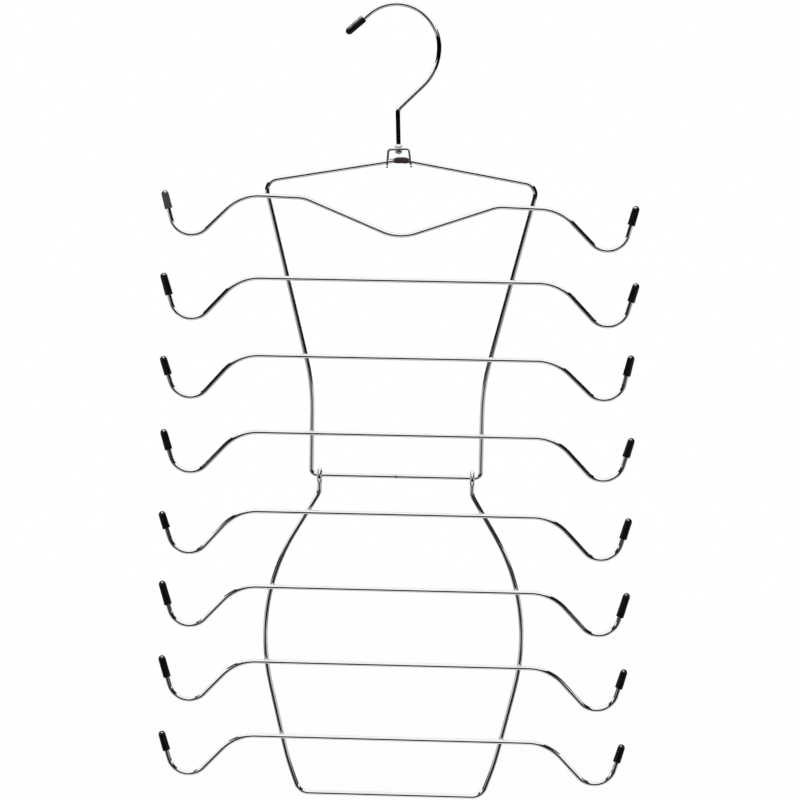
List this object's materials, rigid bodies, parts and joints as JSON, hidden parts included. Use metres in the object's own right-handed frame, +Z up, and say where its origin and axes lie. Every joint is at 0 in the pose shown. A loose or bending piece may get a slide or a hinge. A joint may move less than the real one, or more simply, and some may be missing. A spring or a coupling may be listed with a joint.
{
  "type": "rotating tank top hanger",
  "caption": "Wire hanger with a swivel hook, a folding two-piece frame and tiers of dipped strap arms with capped tips.",
  "frame": {"origin": "seat inside the top of the hook, where a closet rod bears", "axes": "+Z up along the frames' middle, +X to the right as seen from the front, +Y to the back; the bars lie on the front, and the hook's swivel axis leans 2.3 degrees to the left"},
  "size_m": [0.3457, 0.0113, 0.5807],
  "materials": {
    "hook_chrome": "bright chrome plate on steel wire",
    "frame_chrome": "bright chrome plate on steel wire",
    "bar_chrome": "bright chrome plate on steel wire",
    "strap_steel": "plated strip steel",
    "cap_vinyl": "dipped black vinyl, semi-gloss"
  },
  "bodies": {
    "hook": {"hook_wire": "hook_chrome", "hook_tip_cap": "cap_vinyl"},
    "bracket": {"swivel_bracket": "strap_steel"},
    "upper": {"upper_frame": "frame_chrome", "tier_bar_1": "bar_chrome", "arm_cap_left_1": "cap_vinyl", "arm_cap_right_1": "cap_vinyl", "tier_bar_2": "bar_chrome", "arm_cap_left_2": "cap_vinyl", "arm_cap_right_2": "cap_vinyl", "tier_bar_3": "bar_chrome", "arm_cap_left_3": "cap_vinyl", "arm_cap_right_3": "cap_vinyl", "tier_bar_4": "bar_chrome", "arm_cap_left_4": "cap_vinyl", "arm_cap_right_4": "cap_vinyl"},
    "lower": {"lower_frame": "frame_chrome", "tier_bar_5": "bar_chrome", "arm_cap_left_5": "cap_vinyl", "arm_cap_right_5": "cap_vinyl", "tier_bar_6": "bar_chrome", "arm_cap_left_6": "cap_vinyl", "arm_cap_right_6": "cap_vinyl", "tier_bar_7": "bar_chrome", "arm_cap_left_7": "cap_vinyl", "arm_cap_right_7": "cap_vinyl", "tier_bar_8": "bar_chrome", "arm_cap_left_8": "cap_vinyl", "arm_cap_right_8": "cap_vinyl"}
  },
  "joints": [
    {"name": "hook_swivel", "type": "hinge", "parent": "hook", "child": "bracket", "pos_m": [0.00282, 0, -0.10035], "axis": [-0.0395, 0, 0.9992], "continuous": true},
    {"name": "bracket_rock", "type": "hinge", "parent": "bracket", "child": "upper", "pos_m": [0.00319, 0, -0.10962], "axis": [0.9992, 0, 0.0395], "range_deg": [-90, 90]},
    {"name": "frame_fold", "type": "hinge", "parent": "upper", "child": "lower", "pos_m": [0.00509, 0, -0.33741], "axis": [1, 0, 0], "range_deg": [-151, 168]}
  ]
}
